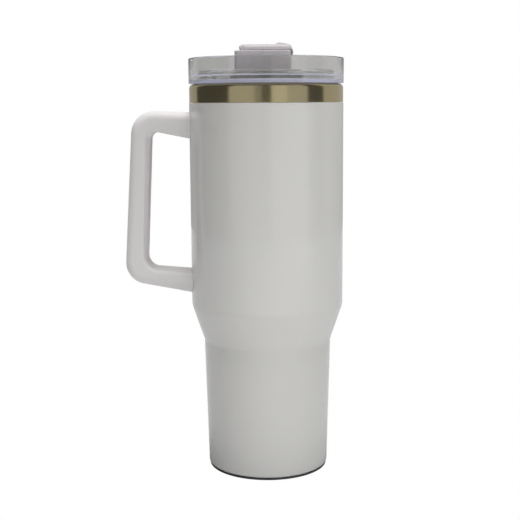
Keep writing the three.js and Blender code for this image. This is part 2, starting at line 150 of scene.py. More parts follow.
def settle(obj):
    """Welds doubled points, turns every face outwards and sets smooth shading between sharp edges."""
    work = bmesh.new()
    work.from_mesh(obj.data)
    bmesh.ops.remove_doubles(work, verts=work.verts, dist=1e-6)
    bmesh.ops.recalc_face_normals(work, faces=work.faces)
    work.to_mesh(obj.data)
    work.free()
    for face in obj.data.polygons:
        face.use_smooth = True
    obj.data.set_sharp_from_angle(angle=SHARP_ANGLE)


def turned(name, corners, segments=ROUND, steps=FILLET_STEPS):
    """Turns a closed (radius, height) outline about the Z axis."""
    outline = rounded(corners, steps)
    verts, rings = [], []
    for r, z in outline:
        if r < 1e-6:
            rings.append([len(verts)] * segments)
            verts.append((0, 0, z))
            continue
        rings.append([len(verts) + j for j in range(segments)])
        for j in range(segments):
            a = 2 * math.pi * j / segments
            verts.append((r * math.cos(a), r * math.sin(a), z))
    faces = []
    for i, ring in enumerate(rings):
        after = rings[(i + 1) % len(rings)]
        if ring[0] == ring[1] and after[0] == after[1]:
            continue
        for j in range(segments):
            k = (j + 1) % segments
            corner = (ring[j], ring[k], after[k], after[j])
            faces.append(tuple(dict.fromkeys(corner)))
    return shaped(name, verts, faces)


def loft(name, rings):
    """A closed skin through rings of points, one ring after another, capped at both ends."""
    count = len(rings[0])
    verts = [p for ring in rings for p in ring]
    faces = []
    for i in range(len(rings) - 1):
        for j in range(count):
            k = (j + 1) % count
            faces.append((i * count + j, i * count + k, (i + 1) * count + k, (i + 1) * count + j))
    faces.append(tuple(range(count)))
    faces.append(tuple(range(len(verts) - count, len(verts))))
    return shaped(name, verts, faces)


def rounded_box(name, x, y, corner, levels):
    """A prism with rounded corners in plan. levels are (height, inset) pairs from the bottom up."""
    rings = []
    for z, inset in levels:
        r = max(corner - inset, 0.05)
        x0, x1, y0, y1 = x[0] + inset, x[1] - inset, y[0] + inset, y[1] - inset
        plan = rounded([(x0, y0, r), (x1, y0, r), (x1, y1, r), (x0, y1, r)], 10)
        rings.append([(p.x, p.y, z) for p in plan])
    return loft(name, rings)


def upright(bottom, top):
    """Levels of a prism with plain edges."""
    return [(bottom, 0), (top, 0)]


def eased(bottom, top, radius, steps=5):
    """Levels of a prism whose top and bottom edges are both rounded by a radius."""
    angles = [math.pi / 2 * k / steps for k in range(steps + 1)]
    lower = [(bottom + radius * (1 - math.sin(a)), radius * (1 - math.cos(a))) for a in reversed(angles)]
    upper = [(top - radius * (1 - math.sin(a)), radius * (1 - math.cos(a))) for a in angles]
    return lower + upper


def slab(name, outline, half, bevel=0.0):
    """An (x, z) outline made into a slab across Y, its edges rounded by a bevel."""
    verts = [(p[0], y, p[1]) for y in (-half, half) for p in outline]
    count = len(outline)
    faces = [(j, (j + 1) % count, count + (j + 1) % count, count + j) for j in range(count)]
    faces += [tuple(range(count)), tuple(range(count, 2 * count))]
    obj = shaped(name, verts, faces)
    if bevel:
        rounding = obj.modifiers.new("rounding", "BEVEL")
        rounding.width = bevel * MM
        rounding.segments = 3
        rounding.limit_method = "ANGLE"
        rounding.angle_limit = math.radians(40)
        bake(obj)
    return obj


def bake(obj):
    """Makes an object's modifiers part of its mesh."""
    graph = bpy.context.evaluated_depsgraph_get()
    mesh = bpy.data.meshes.new_from_object(obj.evaluated_get(graph))
    obj.modifiers.clear()
    obj.data = mesh
    settle(obj)


def combined(obj, tool, operation):
    """Cuts or joins an object with another, which is used up."""
    boolean = obj.modifiers.new("boolean", "BOOLEAN")
    boolean.operation = operation
    boolean.solver = "EXACT"
    boolean.object = tool
    bake(obj)
    bpy.data.objects.remove(tool)


def cut(obj, *tools):
    """Cuts the tools out of an object, one after another."""
    for tool in tools:
        combined(obj, tool, "DIFFERENCE")
    return obj


def joined(obj, *tools):
    """Joins the tools to an object, one after another."""
    for tool in tools:
        combined(obj, tool, "UNION")
    return obj


def rod(name, radius, bottom, top, segments=FINE, flare=0.0):
    """A cylinder on the Z axis. A flare widens both ends, to round the edge of the hole it cuts."""
    if not flare:
        return turned(name, [(0, bottom), (radius, bottom), (radius, top), (0, top)], segments)
    side = [(radius + inset, z) for z, inset in eased(bottom, top, flare, EDGE_STEPS)]
    wide = radius + flare
    outline = [(0, bottom - 1), (wide, bottom - 1), *side, (wide, top + 1), (0, top + 1)]
    return turned(name, outline, segments)


def hinge_rod(name, radius, start, stop, edge=0.0, segments=FINE):
    """A cylinder on the flip cap's hinge axis, from one y to another, with its end edges rounded."""
    half = (stop - start) / 2
    profile = rounded([(0, -half), (radius, -half, edge), (radius, half, edge), (0, half)], 4)
    obj = turned(name, profile, segments)
    for v in obj.data.vertices:
        v.co = Vector((v.co.x + HINGE_X * MM, v.co.z, v.co.y + HINGE_Z * MM))
    settle(obj)
    obj.data.transform(Matrix.Translation((0, (start + stop) / 2 * MM, 0)))
    return obj


def slot_plan(inset, angle, half, steps=24):
    """The plan of a slot curved about the Z axis, shrunk by an inset all round."""
    middle, end_r = (SLOT_IN + SLOT_OUT) / 2, (SLOT_OUT - SLOT_IN) / 2 - inset
    plan = []

    def arc(centre, radius, start, stop, count):
        for k in range(count):
            a = start + (stop - start) * k / count
            plan.append((centre[0] + radius * math.cos(a), centre[1] + radius * math.sin(a)))

    ends = [(middle * math.cos(angle + s * half), middle * math.sin(angle + s * half)) for s in (1, -1)]
    arc((0, 0), middle + end_r, angle - half, angle + half, steps)
    arc(ends[0], end_r, angle + half, angle + half + math.pi, steps // 2)
    arc((0, 0), middle - end_r, angle + half, angle - half, steps)
    arc(ends[1], end_r, angle - half + math.pi, angle - half + 2 * math.pi, steps // 2)
    return plan


def slot_loft(name, levels, angle, half):
    """A curved slot's plan made solid through (height, inset) levels."""
    rings = []
    for z, inset in levels:
        rings.append([(x, y, z) for x, y in slot_plan(inset, angle, half)])
    return loft(name, rings)


def slot_tool(name, bottom, top, angle):
    """A cutter for a drinking slot that leaves the slot's edges rounded."""
    edge = 0.5
    levels = [(z, -inset) for z, inset in eased(bottom, top, edge, EDGE_STEPS)]
    return slot_loft(name, [(bottom - 1, -edge), *levels, (top + 1, -edge)], angle, SLOT_HALF)


# ---- Materials ----------------------------------------------------------------------------------


class Finish:
    """A Principled material that noise, bumps and tints are added to."""

    def __init__(self, name, color, roughness, **sockets):
        self.material = bpy.data.materials.new(name)
        self.material.use_nodes = True
        self.tree = self.material.node_tree
        self.shader = self.tree.nodes["Principled BSDF"]
        self.color = (*color, 1)
        self.shader.inputs["Base Color"].default_value = self.color
        self.shader.inputs["Roughness"].default_value = roughness
        for key, value in sockets.items():
            self.shader.inputs[key.replace("_", " ").title().replace("Ior", "IOR")].default_value = value
        self.last_bump = None

    def node(self, kind, **settings):
        node = self.tree.nodes.new(kind)
        for key, value in settings.items():
            setattr(node, key, value)
        return node

    def link(self, a, b):
        self.tree.links.new(a, b)

    def noise(self, scale, stretch=(1, 1, 1), detail=3.0, rough=0.5):
        """Noise in the piece's own space: scale is in waves a metre, stretch multiplies it by axis."""
        where = self.node("ShaderNodeTexCoord")
        spread = self.node("ShaderNodeMapping")
        spread.inputs["Scale"].default_value = [scale * s for s in stretch]
        field = self.node("ShaderNodeTexNoise")
        field.inputs["Scale"].default_value = 1
        field.inputs["Detail"].default_value = detail
        field.inputs["Roughness"].default_value = rough
        self.link(where.outputs["Object"], spread.inputs["Vector"])
        self.link(spread.outputs["Vector"], field.inputs["Vector"])
        return field.outputs["Fac"]

    def ranged(self, value, low_out, high_out, low_in=0.3, high_in=0.7):
        """A value carried from one range to another, and held at its ends."""
        ramp = self.node("ShaderNodeMapRange")
        ramp.inputs["From Min"].default_value = low_in
        ramp.inputs["From Max"].default_value = high_in
        ramp.inputs["To Min"].default_value = low_out
        ramp.inputs["To Max"].default_value = high_out
        self.link(value, ramp.inputs["Value"])
        return ramp.outputs["Result"]

    def tinted(self, factor, other):
        """Mixes the base colour with another by a factor."""
        mix = self.node("ShaderNodeMix", data_type="RGBA")
        socket = self.shader.inputs["Base Color"]
        if socket.is_linked:
            self.link(socket.links[0].from_socket, mix.inputs["A"])
        else:
            mix.inputs["A"].default_value = self.color
        mix.inputs["B"].default_value = (*other, 1)
        self.link(factor, mix.inputs["Factor"])
        self.link(mix.outputs["Result"], socket)
        return self

    def rough(self, value):
        """Lets a value vary the roughness."""
        self.link(value, self.shader.inputs["Roughness"])
        return self

    def bumped(self, height, distance):
        """Adds a bump of a real height, in metres, on top of the bump already there."""
        bump = self.node("ShaderNodeBump")
        bump.inputs["Distance"].default_value = distance
        self.link(height, bump.inputs["Height"])
        if self.last_bump:
            self.link(self.last_bump.outputs["Normal"], bump.inputs["Normal"])
        self.link(bump.outputs["Normal"], self.shader.inputs["Normal"])
        self.last_bump = bump
        return self


def coating():
    """Sprayed and baked white coating: a faint orange peel under a soft clear gloss."""
    f = Finish("white_coating", (0.60, 0.595, 0.575), 0.34, coat_weight=1.0, coat_roughness=0.05)
    f.tinted(f.ranged(f.noise(14, detail=2), 0, 0.35), (0.57, 0.57, 0.56))
    f.tinted(f.ranged(f.noise(900, detail=1), 0, 0.10), (0.66, 0.65, 0.62))
    f.rough(f.ranged(f.noise(30, detail=3), 0.30, 0.38))
    f.bumped(f.noise(420, detail=2), 0.000012)
    return f.material


def polished_band():
    """Turned and polished bare steel with a warm cast and hair-fine rings round it."""
    f = Finish("warm_polished_steel", (0.57, 0.495, 0.285), 0.13, metallic=1.0)
    f.tinted(f.ranged(f.noise(60, (1, 1, 3), 3), 0, 0.5), (0.52, 0.46, 0.33))
    f.rough(f.ranged(f.noise(90, (1, 1, 40), 3), 0.10, 0.19))
    f.bumped(f.noise(60, (0.4, 0.4, 90), 3), 0.000006)
    return f.material


def brushed_steel():
    """Stainless steel, brushed round the axis."""
    tone = 0.56
    rings = (1, 1, 60)
    f = Finish("brushed_steel", (tone, tone, tone * 0.98), 0.28, metallic=1.0)
    f.tinted(f.ranged(f.noise(40, rings, 4), 0, 0.6), (tone * 0.86, tone * 0.86, tone * 0.85))
    f.rough(f.ranged(f.noise(70, rings, 3), 0.22, 0.38))
    f.bumped(f.noise(60, rings, 4), 0.000012)
    return f.material


def foil():
    """Crinkled aluminium foil."""
    f = Finish("crinkled_foil", (0.83, 0.83, 0.83), 0.22, metallic=1.0)
    f.bumped(f.noise(260, detail=4, rough=0.6), 0.0004)
    f.rough(f.ranged(f.noise(150), 0.15, 0.35))
    return f.material


def handle_plastic():
    """Moulded polypropylene: faint flow marks and a spark-eroded grain."""
    f = Finish("handle_plastic", (0.66, 0.635, 0.64), 0.40, subsurface_weight=0.06)
    f.shader.inputs["Subsurface Radius"].default_value = (0.004, 0.0035, 0.003)
    f.tinted(f.ranged(f.noise(22, (1, 1, 0.5), 3), 0, 0.4), (0.62, 0.61, 0.60))
    f.rough(f.ranged(f.noise(120, detail=4), 0.34, 0.46))
    f.bumped(f.noise(1700, detail=2), 0.000010)
    f.bumped(f.noise(70, detail=2), 0.000030)
    return f.material


def knob_plastic():
    """Moulded light grey plastic with a fine grain. Its tone is darker than the handle's plastic: partly its
    own tone, partly painted shade for the block's shaded front face.
    """
    # base colour below the handle plastic's: partly the plastic's own tone, partly painted shade of the
    # block's front
    f = Finish("knob_plastic", (0.565, 0.53, 0.55), 0.3)
    f.tinted(f.ranged(f.noise(60, detail=3), 0, 0.4), (0.545, 0.52, 0.535))
    f.rough(f.ranged(f.noise(200, detail=3), 0.24, 0.36))
    f.bumped(f.noise(2200, detail=2), 0.000008)
    return f.material


def clear_lid():
    """Polished clear copolyester, with a milky lilac cast in the thick ring and floor below the wall."""
    f = Finish("clear_lid", (1, 1, 1), 0.03, transmission_weight=1.0, ior=1.45)
    where = f.node("ShaderNodeTexCoord")
    split = f.node("ShaderNodeSeparateXYZ")
    f.link(where.outputs["Object"], split.inputs["Vector"])
    height = split.outputs["Z"]
    milky, clear = 0.2564, 0.2574  # heights between which the milkiness fades out
    f.tinted(f.ranged(height, 1, 0, milky, clear), (0.54, 0.545, 0.65))
    f.link(f.ranged(height, 0.4, 1, milky, clear), f.shader.inputs["Transmission Weight"])
    f.rough(f.ranged(f.noise(120, detail=4), 0.015, 0.06))
    f.bumped(f.noise(55, detail=2), 0.00002)
    inside = f.node("ShaderNodeVolumeAbsorption")
    inside.inputs["Color"].default_value = (0.8, 0.8, 0.82, 1)
    inside.inputs["Density"].default_value = 30
    f.link(inside.outputs["Volume"], f.tree.nodes["Material Output"].inputs["Volume"])
    return f.material


def clear_cover():
    """The lid's plastic again, faintly smoked."""
    f = Finish("clear_cover", (0.74, 0.74, 0.71), 0.05, transmission_weight=0.9, ior=1.45)
    f.rough(f.ranged(f.noise(220, detail=4), 0.03, 0.1))
    f.bumped(f.noise(80, detail=2), 0.00002)
    return f.material


def frosted_silicone():
    """Translucent silicone with a matte skin."""
    f = Finish("frosted_silicone", (0.78, 0.78, 0.80), 0.5, transmission_weight=0.35, ior=1.41)
    f.rough(f.ranged(f.noise(400, detail=3), 0.42, 0.6))
    f.bumped(f.noise(1800, detail=2), 0.00001)
    return f.material


def dark_silicone(name="dark_silicone", tone=0.05):
    """Matte moulded silicone with dust in its grain."""
    f = Finish(name, (tone, tone, tone * 1.06), 0.6)
    f.tinted(f.ranged(f.noise(700, detail=4), 0, 0.35, 0.5, 0.8), (0.16, 0.16, 0.165))
    f.rough(f.ranged(f.noise(300, detail=3), 0.5, 0.72))
    f.bumped(f.noise(1500, detail=3), 0.00002)
    return f.material


FINISHES = {
    "body_coating": coating(),
    "polished_band": polished_band(),
    "bare_steel": brushed_steel(),
    "foil": foil(),
    "handle_plastic": handle_plastic(),
    "lid_clear": clear_lid(),
    "frosted_silicone": frosted_silicone(),
    "dark_silicone": dark_silicone(),
    "knob_plastic": knob_plastic(),
    "base_rubber": dark_silicone("base_rubber", 0.045),
}
SMOKED_CLEAR = clear_cover()


def piece(obj, body, slot, node, material=None):
    """Gives a finished piece its material and its body, and hides the CAD node it stands for."""
    obj.data.materials.clear()
    obj.data.materials.append(material or FINISHES[slot])
    obj.visible_shadow = slot != "lid_clear"  # clear plastic lets the light through to what it covers
    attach(obj, body)
    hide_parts(node)


# ---- Body -----------------------------------------------------------------------------------------


def outer_shell():
    """The wide upper body, the cone and the foot, which turns in to a narrow lip underneath."""
    inside = SHELL_R - SHELL_WALL
    lip = FOOT_R - 2.4
    top = SHELL_TOP + GAP - SEAM
    return turned("coated_shell", [
        (lip, SHELL_BOTTOM), (FOOT_R, SHELL_BOTTOM, 1.3), (WAIST_R, WAIST_LOW, 9), (SHELL_R, WAIST_HIGH, 14),
        (SHELL_R, top, 0.25), (inside, top), (inside, WAIST_HIGH, 14), (WAIST_R - SHELL_WALL, WAIST_LOW, 9),
        (FOOT_R - SHELL_WALL, SHELL_BOTTOM + SHELL_WALL, 0.7), (lip, SHELL_BOTTOM + SHELL_WALL),
    ])


def neck_band():
    """The bare band, rolled over a rounded rim and down inside the mouth."""
    wall = 0.8
    bottom = SHELL_TOP + GAP
    roof = RIM_TOP - wall
    inside = RIM_R - wall
    skin = MOUTH_R + 0.5
    return turned("polished_neck_band", [
        (inside, bottom), (RIM_R, bottom, 0.2), (RIM_R, RIM_TOP, 2.6), (MOUTH_R, RIM_TOP, 0.4),
        (MOUTH_R, LINER_TOP + SEAM), (skin, LINER_TOP + SEAM), (skin, roof), (inside, roof, 1.6),
    ])


def inner_liner():
    """The inner cup, with a small step below the mouth."""
    wall = 0.5
    upper, lower, foot = (r - LINER_INSET for r in (SHELL_R, WAIST_R, FOOT_R))
    under = LINER_FLOOR - wall
    step = MOUTH_SEAT - 2
    return turned("steel_liner", [
        (0, under), (foot + wall, under, 6.5), (lower + wall, WAIST_LOW, 9), (upper + wall, WAIST_HIGH, 12),
        (upper + wall, step, 1), (MOUTH_R + wall, MOUTH_SEAT, 1), (MOUTH_R + wall, LINER_TOP),
        (MOUTH_R, LINER_TOP),
        (MOUTH_R, MOUTH_SEAT, 1), (upper, step, 1), (upper, WAIST_HIGH, 12), (lower, WAIST_LOW, 9),
        (foot, LINER_FLOOR, 6), (0, LINER_FLOOR),
    ])


def base_pad():
    """The foot's pad, with a shallow groove round its underside."""
    top = high("base_pad").z
    r = high("base_pad").x
    groove_in, groove_out, deep = 28, 30, 0.6
    return turned("rubber_foot", [
        (0, 0), (groove_in, 0, 0.2), (groove_in, deep, 0.2), (groove_out, deep, 0.2), (groove_out, 0, 0.2),
        (r, 0, 0.4), (r, top, 0.3), (0, top),
    ])


def base_cap():
    """The thin cup over the vacuum seal."""
    r = high("base_cap").x
    bottom, top, floor = 1.7, 4.2, 2.3
    inside = r - 0.6
    return turned("steel_base_cup", [
        (0, bottom), (r, bottom, 0.4), (r, top, 0.2), (inside, top, 0.2), (inside, floor, 0.3), (0, floor),
    ])


piece(outer_shell(), "tumbler", "body_coating", "outer_shell")
piece(neck_band(), "tumbler", "polished_band", "neck_band")
piece(inner_liner(), "tumbler", "bare_steel", "inner_liner")
piece(base_pad(), "tumbler", "base_rubber", "base_pad")
piece(base_cap(), "tumbler", "bare_steel", "base_cap")

# ---- Handle ---------------------------------------------------------------------------------------
# Corners of the handle from the front, as (x, z, fillet): its outside, and the finger gap's outline.
INSIDE_X = -40
OUTER_LINE = [(INSIDE_X, 236.2), (-86.8, 238.1, 15), (-93.8, 127.1, 14), (INSIDE_X, 116.9)]
FINGER_LINE = [(INSIDE_X, 217.8), (-75.1, 225, 5), (-79.6, 135, 8), (INSIDE_X, 131.8)]
HANDLE_HALF = high("handle_shell").y
CHANNEL_HALF, CHANNEL_DEPTH = 7, 9.5
STRIP_HALF, STRIP_DEPTH = 6.85, 2.5
# The flat along the finger side's edges, in mm: at the top arm's root, at the upper corner, at the
# lower corner and at the lower arm's root.
EDGE_FLAT = [4.2, 3.6, 1.4, 1.4]


def stations(line, per_run=14, per_corner=20):
    """Points along one line, evenly spread on each arm, each corner and the grip."""
    points = rounded(line, per_corner)
    first, second = points[1:per_corner + 2], points[per_corner + 2:2 * per_corner + 3]

    def run(a, b):
        return [a.lerp(b, k / per_run) for k in range(per_run)]

    path = run(points[0], first[0]) + first[:-1] + run(first[-1], second[0]) + second[:-1]
    return path + run(second[-1], points[-1]) + [points[-1]]


def edge_flat(share):
    """The finger side's edge flat at a share of the way round the handle."""
    place = share * 3
    k = min(int(place), 2)
    return EDGE_FLAT[k] + (EDGE_FLAT[k + 1] - EDGE_FLAT[k]) * (place - k)


def handle_rings(section):
    """Rings of a handle piece. section gives (depth, y) corners for a width and a share."""
    outer, finger = stations(OUTER_LINE), stations(FINGER_LINE)
    rings = []
    for k, (out, gap) in enumerate(zip(outer, finger)):
        across = gap - out
        width = across.length
        plan = rounded(section(width, k / (len(outer) - 1)), 6)
        rings.append([(out.x + across.x * d / width, y, out.y + across.y * d / width) for d, y in plan])
    return rings


def shell_section(width, share):
    """The moulding's section: round outside, with flats by the finger side and a channel in that side."""
    h, c = HANDLE_HALF, CHANNEL_HALF
    edge = width - edge_flat(share)
    face = h - 3.4
    deep = width - CHANNEL_DEPTH
    return [
        (0, -h, 5.2), (edge, -h, 1.6), (width, -face, 1.0), (width, -c, 0.15), (deep, -c), (deep, c),
        (width, c, 0.15), (width, face, 1.0), (edge, h, 1.6), (0, h, 5.2),
    ]


def strip_section(width, share):
    """The section of the strip that closes the channel. It is the same all the way round."""
    s = STRIP_HALF
    deep = width - STRIP_DEPTH
    return [(deep, -s, 0.2), (deep, s, 0.2), (width, s, 0.3), (width, -s, 0.3)]


def body_cutter():
    """The upper body's cylinder, which shapes the ends of the arms."""
    return rod("cutter", SHELL_R + 0.05, 90, 250, ROUND)


handle = cut(loft("moulded_handle", handle_rings(shell_section)), body_cutter())
strip = cut(loft("handle_inner_strip", handle_rings(strip_section)), body_cutter())
piece(handle, "tumbler", "handle_plastic", "handle_shell")
piece(strip, "tumbler", "handle_plastic", "handle_cover_strip")

# ---- Lid ------------------------------------------------------------------------------------------


def lid_body():
    """The lid: outer wall, floor with the drinking slot, and a skirt with the gasket's groove."""
    bore = SLEEVE_R + 0.4
    inside = LID_R - 2.6
    obj = turned("clear_lid_body", [
        (bore, FLOOR_BOTTOM, 0.2), (SKIRT_IN, FLOOR_BOTTOM, 0.8), (SKIRT_IN, SKIRT_BOTTOM, 0.7),
        (SKIRT_OUT, SKIRT_BOTTOM, 0.7), (SKIRT_OUT, GROOVE_BOTTOM, 0.15), (GROOVE_R, GROOVE_BOTTOM, 0.15),
        (GROOVE_R, GROOVE_TOP, 0.15), (SKIRT_OUT, GROOVE_TOP, 0.15), (SKIRT_OUT, LID_BOTTOM, 0.5),
        (LID_R, LID_BOTTOM, 0.6), (LID_R, LID_TOP, 0.9), (inside, LID_TOP, 0.9), (inside, LEDGE, 0.9),
        (WELL_R, LEDGE, 0.4), (WELL_R, FLOOR_TOP, 0.3), (bore, FLOOR_TOP, 0.2),
    ], steps=6)
    return cut(obj, slot_tool("slot", FLOOR_BOTTOM, FLOOR_TOP, SLOT_ANGLE))


def lid_gasket():
    """A ring with two lips."""
    back, waist, lip = GROOVE_R + 0.15, SKIRT_OUT - 0.1, MOUTH_R - 0.3
    bottom, top = GROOVE_BOTTOM + 0.15, GROOVE_TOP - 0.15
    return turned("gasket_ring", [
        (back, bottom, 0.2), (lip, bottom + 0.3, 0.5), (lip, bottom + 1.5, 0.4), (waist, bottom + 1.9, 0.4),
        (waist, top - 1.9, 0.4), (lip, top - 1.5, 0.4), (lip, top - 0.3, 0.5), (back, top, 0.2),
    ], steps=5)


piece(lid_body(), "lid", "lid_clear", "lid_body")
piece(lid_gasket(), "lid", "frosted_silicone", "lid_gasket")

# ---- Rotating cover ---------------------------------------------------------------------------------


def rotating_cover():
    """The dish, with its drinking window and the hole that the sip seal is set in."""
    bore = SLEEVE_R + GAP
    obj = turned("clear_rotating_cover", [
        (bore, PLATE_BOTTOM, 0.2), (COVER_IN, PLATE_BOTTOM, 0.3), (COVER_IN, COVER_BOTTOM, 0.2),
        (COVER_R, COVER_BOTTOM, 0.9), (COVER_R, COVER_TOP, 1.28), (COVER_IN, COVER_TOP, 1.28),
        (COVER_IN, PLATE_TOP, 1.0), (bore, PLATE_TOP, 0.2),
    ], steps=6)
    hole = [(PLATE_BOTTOM - 1, -GAP), (PLATE_TOP + 1, -GAP)]
    return cut(
        obj,
        slot_tool("window", PLATE_BOTTOM, PLATE_TOP, WINDOW_ANGLE),
        slot_loft("seal_hole", hole, SLOT_ANGLE, SEAL_HALF),
    )


def sip_seal():
    """A flange below the cover and a plug set in the cover's plate."""
    flange_top = 257.4
    flange_width = 1.8
    steps = 3
    flange = [(z, inset - flange_width) for z, inset in eased(low("sip_seal").z, flange_top, 0.25, steps)]
    plug_edge = eased(flange_top, high("sip_seal").z, 0.3, steps)[steps + 1:]
    return slot_loft("sip_stopper", [*flange, (flange_top, 0), *plug_edge], SLOT_ANGLE, SEAL_HALF)


def pivot_sleeve():
    """The hollow pivot: a tube with a flange at its top and the clip's groove near its end."""
    flange_r = high("pivot_sleeve").x
    bottom, top = low("pivot_sleeve").z, high("pivot_sleeve").z
    groove_r, groove_bottom, groove_top = 7.9, 252.6, 254.3
    flange_bottom = PLATE_TOP + GAP
    return turned("pivot_tube", [
        (SLEEVE_BORE, bottom, 0.4), (SLEEVE_R, bottom, 0.6), (SLEEVE_R, groove_bottom, 0.1),
        (groove_r, groove_bottom, 0.1), (groove_r, groove_top, 0.1), (SLEEVE_R, groove_top, 0.1),
        (SLEEVE_R, flange_bottom, 0.1), (flange_r, flange_bottom, 0.2), (flange_r, top, 0.3),
        (SLEEVE_BORE, top, 0.3),
    ], FINE, steps=4)


def pivot_seal():
    """The washer between the cover and the lid's floor."""
    bottom, top = low("pivot_seal").z, high("pivot_seal").z
    inner, outer = SLEEVE_R + GAP, high("pivot_seal").x
    corners = [(inner, bottom, 0.2), (outer, bottom, 0.3), (outer, top, 0.3), (inner, top, 0.2)]
    return turned("pivot_washer", corners, FINE, steps=4)


def port_block():
    """The hollow block: the straw's bore, a well either side, and the hinge's lug between two ear tracks."""
    lowest, highest = low("straw_port_block"), high("straw_port_block")
    left, right, half = lowest.x, highest.x, highest.y
    block = rounded_box("port_block", (left, right), (-half, half), 3, eased(lowest.z, BLOCK_TOP, 0.6))
    lug_left, lug_right = HINGE_X - LUG_R, HINGE_X + LUG_R
    lug_root = BLOCK_TOP - 1
    round_top = LUG_R - 0.05
    lug = slab("lug", rounded([
        (lug_left, lug_root), (lug_right, lug_root), (lug_right, highest.z, round_top),
        (lug_left, highest.z, round_top),
    ]), LUG_HALF, 0.3)
    bore = SLEEVE_BORE + 0.2
    wall, roof = 2, 3
    port = bore + wall
    wells = []
    for sides in ((left + wall, -port), (port, right - wall)):
        deep = upright(lowest.z - 1, BLOCK_TOP - roof)
        wells.append(rounded_box("well", sides, (-half + wall, half - wall), 1.5, deep))
    track_in, track_out = LUG_HALF + 0.1, EAR_OUT + GAP
    tracks = [
        hinge_rod("track", EAR_R + GAP, track_in, track_out),
        hinge_rod("track", EAR_R + GAP, -track_out, -track_in),
    ]
    through = LUG_HALF + 1
    return cut(
        joined(block, lug),
        rod("bore", bore, lowest.z - 2, BLOCK_TOP, flare=0.5),
        rod("seat", high("pivot_sleeve").x + GAP, lowest.z - 1, high("pivot_sleeve").z + 0.2),
        *wells,
        *tracks,
        hinge_rod("pin_hole", PIN_HOLE_R, -through, through, segments=48),
    )


def hinge_pin():
    """The steel pin, its ends rounded."""
    return hinge_rod("steel_hinge_pin", PIN_R, low("hinge_pin").y, high("hinge_pin").y, 0.25)


piece(rotating_cover(), "cover", "lid_clear", "rotating_cover", material=SMOKED_CLEAR)
piece(sip_seal(), "cover", "dark_silicone", "sip_seal")
piece(pivot_sleeve(), "cover", "lid_clear", "pivot_sleeve", material=SMOKED_CLEAR)
piece(pivot_seal(), "cover", "dark_silicone", "pivot_seal")
piece(port_block(), "cover", "knob_plastic", "straw_port_block")
piece(hinge_pin(), "cover", "bare_steel", "hinge_pin")

# ---- Flip cap -----------------------------------------------------------------------------------------


def across_ends(name, half, bottom, top, fillet):
    """A bar along X, longer than the cap, whose end outline, in (y, z), has rounded upper corners."""
    bar_half = 30
    outline = rounded([(-half, bottom), (half, bottom), (half, top, fillet), (-half, top, fillet)])
    bar = slab(name, outline, bar_half)
    bar.data.transform(Matrix.Rotation(math.radians(90), 4, "Z"))
    settle(bar)
    return bar


def flip_cap():
    """A rounded plate with a lip over the block's end, a thumb ridge and two hinge ears."""
    lowest, highest = low("flip_cap"), high("flip_cap")
    lip_in = high("straw_port_block").x + 0.4
    root = HINGE_X + LUG_R + GAP
    half = highest.y
    whole = upright(lowest.z - 1, highest.z + 1)
    cap = slab("flip_cap_fine", rounded([
        (HINGE_X, CAP_BOTTOM), (lip_in, CAP_BOTTOM, 0.3), (lip_in, lowest.z, 0.3), (highest.x, lowest.z, 0.5),
        (highest.x, lowest.z + 1.6, 2), (lip_in - 1, CAP_TOP, 1.6), (HINGE_X, CAP_TOP),
    ]), half + 1)
    joined(cap, hinge_rod("barrel", EAR_R, -half - 1, half + 1))
    plan = rounded_box("cap_plan", (lowest.x - 0.1, highest.x), (-half, half), 2, whole)
    combined(cap, across_ends("cap_ends", half, lowest.z - 1, CAP_TOP, 3.3), "INTERSECT")
    combined(cap, plan, "INTERSECT")
    ridge = slab("ridge", rounded([
        (5, CAP_TOP - 1), (14.5, CAP_TOP - 1), (lip_in - 1.6, CAP_TOP - 0.2, 0.4), (8.6, highest.z, 1.6),
        (5.4, CAP_TOP - 0.2, 2),
    ]), half)
    combined(ridge, across_ends("ridge_ends", half - 2.4, CAP_TOP - 2, highest.z, 1.8), "INTERSECT")
    lug_space = rounded_box("lug_space", (lowest.x - 1, root), (-EAR_IN, EAR_IN), 0.2, whole)
    pin_hole = hinge_rod("pin_hole", PIN_HOLE_R, low("hinge_pin").y - GAP, high("hinge_pin").y + 1)
    return cut(joined(cap, ridge), lug_space, pin_hole)


def cap_plug():
    """The stopper under the cap, slightly tapered."""
    bottom, top = low("cap_plug").z, high("cap_plug").z
    return turned("cap_stopper", [(0, bottom), (4.2, bottom, 0.7), (4.9, top, 0.2), (0, top)], FINE)


piece(flip_cap(), "cap", "knob_plastic", "flip_cap")
piece(cap_plug(), "cap", "frosted_silicone", "cap_plug")

# ---- CAD nodes that stay as they are, inside the walls and the handle ---------------------------------
KEPT = {
    "heat_foil": "foil",
    "shell_bottom": "bare_steel",
    "vacuum_seal_bead": "bare_steel",
    "vacuum_getter": "bare_steel",
    "upper_handle_bracket": "bare_steel",
    "lower_handle_bracket": "bare_steel",
    "upper_handle_screw": "bare_steel",
    "lower_handle_screw": "bare_steel",
    "pivot_clip": "bare_steel",
}
for node, slot in KEPT.items():
    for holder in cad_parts[node].material_slots:
        holder.material = FINISHES[slot]

# ---- Studio -------------------------------------------------------------------------------------------


def plain(name, color, strength=None):
    """A plain studio surface: matte, or glowing where a strength is given."""
    material = bpy.data.materials.new(name)
    material.use_nodes = True
    shader = material.node_tree.nodes["Principled BSDF"]
    shader.inputs["Base Color"].default_value = (*color, 1)
    shader.inputs["Roughness"].default_value = 0.9
    shader.inputs["Specular IOR Level"].default_value = 0.1
    if strength is not None:
        shader.inputs["Base Color"].default_value = (0, 0, 0, 1)
        shader.inputs["Specular IOR Level"].default_value = 0
        shader.inputs["Emission Color"].default_value = (*color, 1)
        shader.inputs["Emission Strength"].default_value = strength
    return material


def around(azimuth, radius, height):
    """A point at an azimuth in degrees: 0 towards the camera, 90 to its right."""
    a = math.radians(azimuth)
    return Vector((radius * math.sin(a), -radius * math.cos(a), height))


